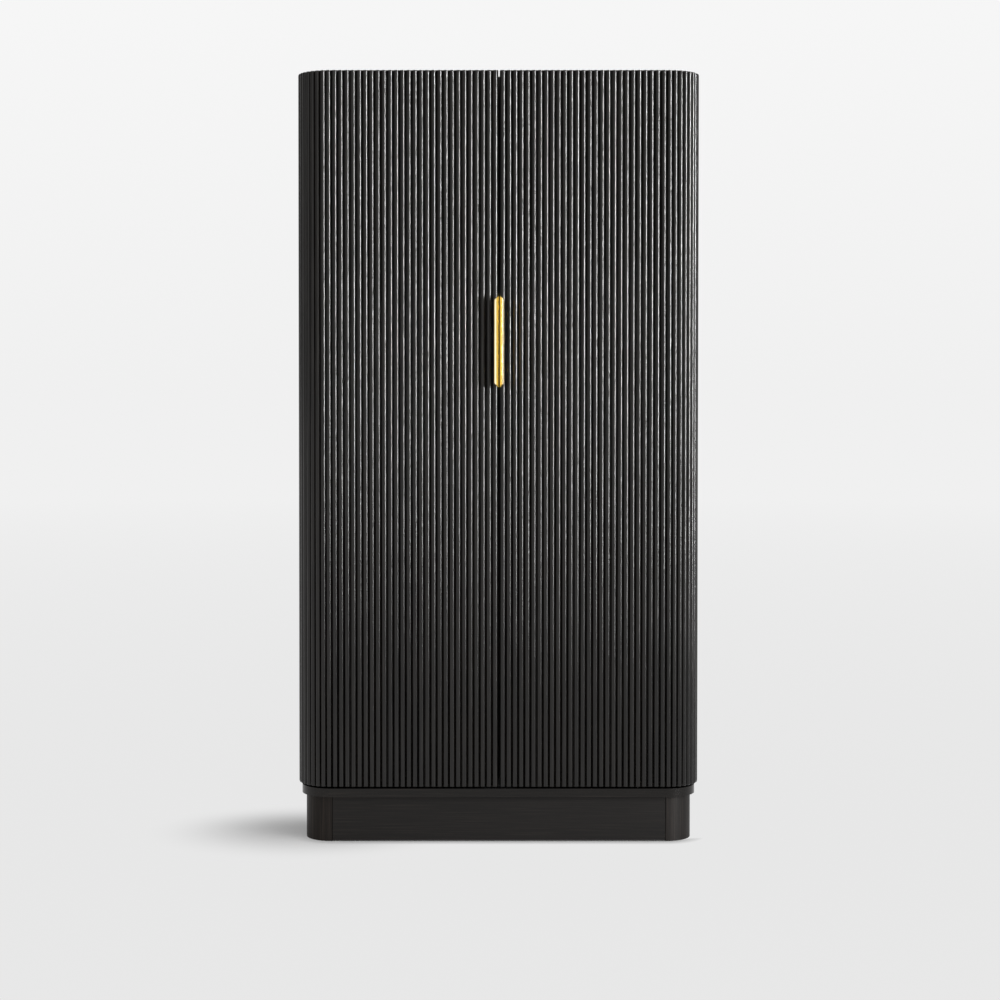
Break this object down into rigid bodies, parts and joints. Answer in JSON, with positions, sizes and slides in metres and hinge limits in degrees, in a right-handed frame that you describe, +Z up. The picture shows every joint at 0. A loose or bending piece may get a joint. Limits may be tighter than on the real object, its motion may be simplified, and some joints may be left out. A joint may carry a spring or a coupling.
{
  "type": "bar armoire",
  "caption": "Tall black oak drinks cabinet with reeded doors that wrap round rounded front corners, paired brass pulls, inner shelves, bottle cross and stemware rails, on a plinth.",
  "frame": {"origin": "on the floor under the middle of the overall box, pulls included", "axes": "+Z up, -Y to the front where the doors open, +X to the right as seen from the front"},
  "size_m": [0.933, 0.5354, 1.778],
  "materials": {
    "black_oak": "black-stained oak under a satin lacquer",
    "black_oak_veneer": "black-stained oak veneer on board, satin lacquer",
    "brass": "polished brass",
    "steel": "zinc plated steel",
    "catch_plastic": "moulded black plastic"
  },
  "bodies": {
    "case": {"adjustable_shelf": "black_oak_veneer", "back_panel": "black_oak_veneer", "base_panel": "black_oak", "bottle_cross_falling_board": "black_oak_veneer", "bottle_cross_rising_board": "black_oak_veneer", "bottle_shelf": "black_oak_veneer", "left_hinge_bead": "black_oak", "left_hinge_case_leaves": "brass", "left_hinge_pins": "brass", "left_plinth_front_post": "black_oak", "left_plinth_rear_post": "black_oak", "left_plinth_side_rail": "black_oak", "left_side_core": "black_oak_veneer", "left_side_reeds": "black_oak", "lower_divider": "black_oak_veneer", "magnet_catches": "catch_plastic", "plinth_front_rail": "black_oak", "plinth_rear_rail": "black_oak", "right_hinge_bead": "black_oak", "right_hinge_case_leaves": "brass", "right_hinge_pins": "brass", "right_plinth_front_post": "black_oak", "right_plinth_rear_post": "black_oak", "right_plinth_side_rail": "black_oak", "right_side_core": "black_oak_veneer", "right_side_reeds": "black_oak", "serving_shelf": "black_oak_veneer", "shelf_pins": "steel", "stemware_rails": "brass", "top_panel": "black_oak_veneer", "upper_shelf": "black_oak_veneer"},
    "left_door": {"left_catch_strikes": "steel", "left_door_core": "black_oak_veneer", "left_door_corner": "black_oak", "left_door_pull": "brass", "left_door_rack_ends": "black_oak_veneer", "left_door_rack_rails": "brass", "left_door_rack_shelves": "black_oak_veneer", "left_door_reeds": "black_oak", "left_hinge_door_leaves": "brass", "left_pull_posts": "brass", "left_pull_screws": "steel"},
    "right_door": {"right_catch_strikes": "steel", "right_door_core": "black_oak_veneer", "right_door_corner": "black_oak", "right_door_pull": "brass", "right_door_rack_ends": "black_oak_veneer", "right_door_rack_rails": "brass", "right_door_rack_shelves": "black_oak_veneer", "right_door_reeds": "black_oak", "right_hinge_door_leaves": "brass", "right_pull_posts": "brass", "right_pull_screws": "steel"}
  },
  "joints": [
    {"name": "left_door_hinge", "type": "hinge", "parent": "case", "child": "left_door", "pos_m": [-0.45951, -0.15122, 0.95], "axis": [0, 0, -1], "range_deg": [0, 110]},
    {"name": "right_door_hinge", "type": "hinge", "parent": "case", "child": "right_door", "pos_m": [0.45951, -0.15122, 0.95], "axis": [0, 0, 1], "range_deg": [0, 110]}
  ]
}
